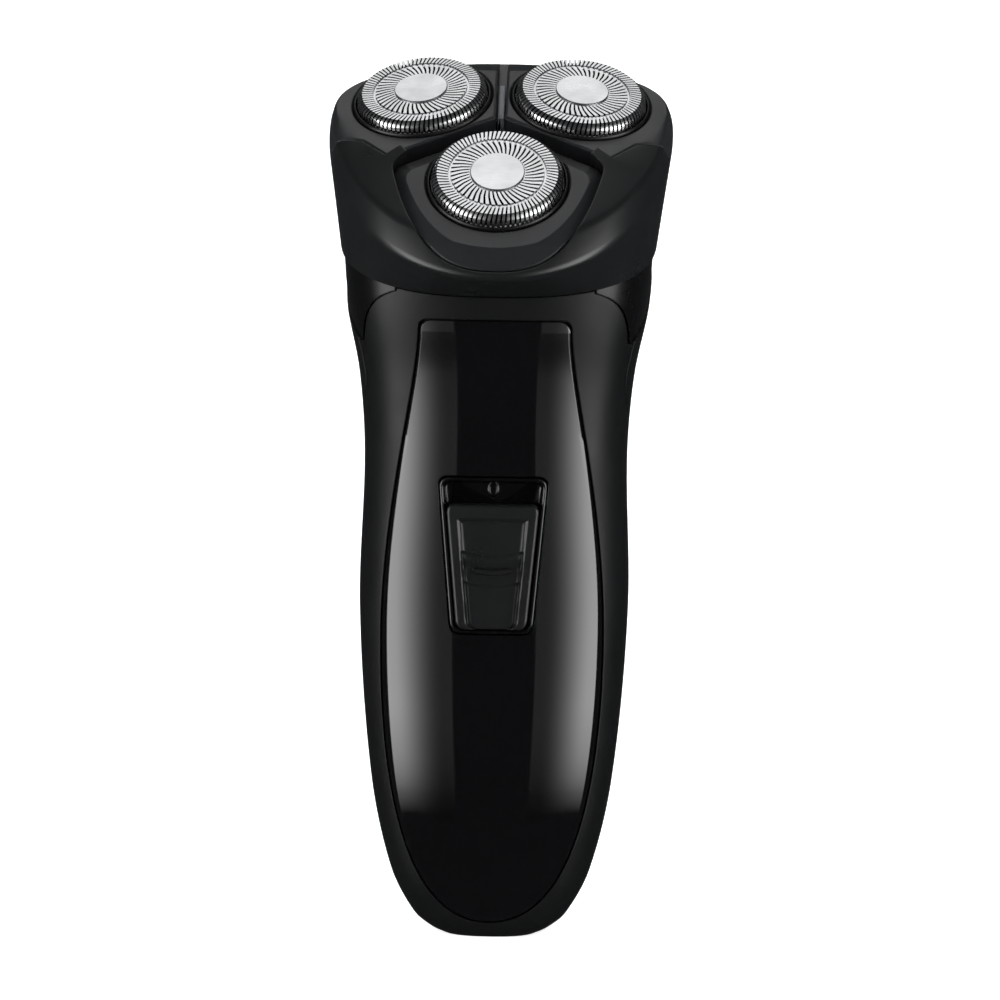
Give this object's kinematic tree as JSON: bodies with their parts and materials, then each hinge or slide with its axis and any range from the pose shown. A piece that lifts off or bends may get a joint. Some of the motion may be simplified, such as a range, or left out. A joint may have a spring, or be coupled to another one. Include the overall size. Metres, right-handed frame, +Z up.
{
  "type": "rotary electric shaver",
  "caption": "Cordless rotary electric shaver: black handle with a glossy front panel and slide switch, and a tilted lift-off head with three round steel cutters.",
  "frame": {"origin": "on the standing surface, under the middle of the whole shaver", "axes": "+Z up along the handle, -Y to the front (switch side), +X to the right seen from the front"},
  "size_m": [0.0628, 0.056, 0.1595],
  "materials": {
    "matte_black": "matte, fine grain",
    "satin_black": "satin",
    "gloss_black": "polished",
    "petal_grey": "matte",
    "bright_steel": "brushed",
    "dark_steel": "ground",
    "grey_plastic": "matte",
    "pale_plastic": "matte",
    "board_green": "lacquered",
    "cell_green": "sleeved",
    "contact_brass": "plain"
  },
  "bodies": {
    "handle": {"front_shell": "matte_black", "rear_shell": "matte_black", "front_panel": "gloss_black", "collar": "gloss_black", "case_screw_lower_left": "dark_steel", "case_screw_lower_right": "dark_steel", "case_screw_upper_left": "dark_steel", "case_screw_upper_right": "dark_steel", "switch_bezel": "gloss_black", "circuit_board": "board_green", "battery": "cell_green", "battery_tab_low": "contact_brass", "battery_tab_high": "contact_brass", "charge_inlet": "matte_black", "inlet_pin_left": "bright_steel", "inlet_pin_right": "bright_steel", "motor": "dark_steel", "motor_screw_left": "dark_steel", "motor_screw_right": "dark_steel", "drive_deck": "grey_plastic", "gear_cover": "grey_plastic"},
    "switch": {"switch_button": "satin_black", "switch_grip": "matte_black", "switch_carriage": "grey_plastic", "slide_contact": "contact_brass"},
    "pinion": {"drive_pinion": "contact_brass"},
    "head": {"head_housing": "satin_black", "groove_bar": "grey_plastic", "retaining_frame": "grey_plastic"},
    "lock": {"lock_knob": "pale_plastic"},
    "gear_left": {"drive_gear_left": "pale_plastic"},
    "spindle_left": {"drive_spindle_left": "pale_plastic"},
    "petal_left": {"petal_left": "petal_grey", "cap_holder_left": "gloss_black"},
    "cap_left": {"guard_cap_left": "bright_steel", "cap_disc_left": "bright_steel"},
    "cutter_left": {"cutter_left": "dark_steel"},
    "gear_right": {"drive_gear_right": "pale_plastic"},
    "spindle_right": {"drive_spindle_right": "pale_plastic"},
    "petal_right": {"petal_right": "petal_grey", "cap_holder_right": "gloss_black"},
    "cap_right": {"guard_cap_right": "bright_steel", "cap_disc_right": "bright_steel"},
    "cutter_right": {"cutter_right": "dark_steel"},
    "gear_front": {"drive_gear_front": "pale_plastic"},
    "spindle_front": {"drive_spindle_front": "pale_plastic"},
    "petal_front": {"petal_front": "petal_grey", "cap_holder_front": "gloss_black"},
    "cap_front": {"guard_cap_front": "bright_steel", "cap_disc_front": "bright_steel"},
    "cutter_front": {"cutter_front": "dark_steel"}
  },
  "joints": [
    {"name": "switch_slide", "type": "slide", "parent": "handle", "child": "switch", "axis": [0, 0, 1], "range_m": [0, 0.0038]},
    {"name": "motor_spin", "type": "hinge", "parent": "handle", "child": "pinion", "pos_m": [0, 0.00876, 0.12964], "axis": [0, -0.3955, 0.9184], "continuous": true},
    {"name": "head_lift", "type": "slide", "parent": "handle", "child": "head", "axis": [0, -0.3955, 0.9184], "range_m": [0, 0.025]},
    {"name": "lock_turn", "type": "hinge", "parent": "head", "child": "lock", "pos_m": [0, -0.00101, 0.1492], "axis": [0, -0.5592, 0.829], "range_deg": [0, 90]},
    {"name": "gear_spin_left", "type": "hinge", "parent": "handle", "child": "gear_left", "pos_m": [-0.01401, 0.01593, 0.13272], "axis": [0, -0.3955, 0.9184], "continuous": true},
    {"name": "spindle_plunge_left", "type": "slide", "parent": "gear_left", "child": "spindle_left", "axis": [0, -0.3955, 0.9184], "range_m": [-0.001, 0]},
    {"name": "petal_tilt_left", "type": "hinge", "parent": "head", "child": "petal_left", "pos_m": [-0.01407, 0.00868, 0.14937], "axis": [-0.5, -0.718, -0.4843], "range_deg": [-2, 2], "stiffness_Nm_per_rad": 0.25},
    {"name": "cap_press_left", "type": "slide", "parent": "petal_left", "child": "cap_left", "axis": [-0.101, -0.507, 0.856], "range_m": [-0.001, 0], "stiffness_N_per_m": 600, "springref_m": 0.0003},
    {"name": "cutter_spin_left", "type": "hinge", "parent": "cap_left", "child": "cutter_left", "pos_m": [-0.01438, 0.00716, 0.15193], "axis": [-0.101, -0.507, 0.856], "continuous": true},
    {"name": "gear_spin_right", "type": "hinge", "parent": "handle", "child": "gear_right", "pos_m": [0.01401, 0.01593, 0.13272], "axis": [0, -0.3955, 0.9184], "continuous": true},
    {"name": "spindle_plunge_right", "type": "slide", "parent": "gear_right", "child": "spindle_right", "axis": [0, -0.3955, 0.9184], "range_m": [-0.001, 0]},
    {"name": "petal_tilt_right", "type": "hinge", "parent": "head", "child": "petal_right", "pos_m": [0.01407, 0.00868, 0.14937], "axis": [-0.5, 0.718, 0.4843], "range_deg": [-2, 2], "stiffness_Nm_per_rad": 0.25},
    {"name": "cap_press_right", "type": "slide", "parent": "petal_right", "child": "cap_right", "axis": [0.101, -0.507, 0.856], "range_m": [-0.001, 0], "stiffness_N_per_m": 600, "springref_m": 0.0003},
    {"name": "cutter_spin_right", "type": "hinge", "parent": "cap_right", "child": "cutter_right", "pos_m": [0.01438, 0.00716, 0.15193], "axis": [0.101, -0.507, 0.856], "continuous": true},
    {"name": "gear_spin_front", "type": "hinge", "parent": "handle", "child": "gear_front", "pos_m": [0, -0.00597, 0.12329], "axis": [0, -0.3955, 0.9184], "continuous": true},
    {"name": "spindle_plunge_front", "type": "slide", "parent": "gear_front", "child": "spindle_front", "axis": [0, -0.3955, 0.9184], "range_m": [-0.001, 0]},
    {"name": "petal_tilt_front", "type": "hinge", "parent": "head", "child": "petal_front", "pos_m": [0, -0.01153, 0.13574], "axis": [1, 0, 0], "range_deg": [-2, 2], "stiffness_Nm_per_rad": 0.25},
    {"name": "cap_press_front", "type": "slide", "parent": "petal_front", "child": "cap_front", "axis": [0, -0.6521, 0.7581], "range_m": [-0.001, 0], "stiffness_N_per_m": 600, "springref_m": 0.0003},
    {"name": "cutter_spin_front", "type": "hinge", "parent": "cap_front", "child": "cutter_front", "pos_m": [0, -0.01348, 0.13801], "axis": [0, -0.6521, 0.7581], "continuous": true}
  ],
  "couplings": [
    {"joint": "gear_spin_left", "follows": "motor_spin", "ratio": -0.90909},
    {"joint": "cutter_spin_left", "follows": "motor_spin", "ratio": -0.90909},
    {"joint": "spindle_plunge_left", "follows": "cap_press_left", "ratio": 1},
    {"joint": "gear_spin_right", "follows": "motor_spin", "ratio": -0.90909},
    {"joint": "cutter_spin_right", "follows": "motor_spin", "ratio": -0.90909},
    {"joint": "spindle_plunge_right", "follows": "cap_press_right", "ratio": 1},
    {"joint": "gear_spin_front", "follows": "motor_spin", "ratio": -0.90909},
    {"joint": "cutter_spin_front", "follows": "motor_spin", "ratio": -0.90909},
    {"joint": "spindle_plunge_front", "follows": "cap_press_front", "ratio": 1}
  ]
}
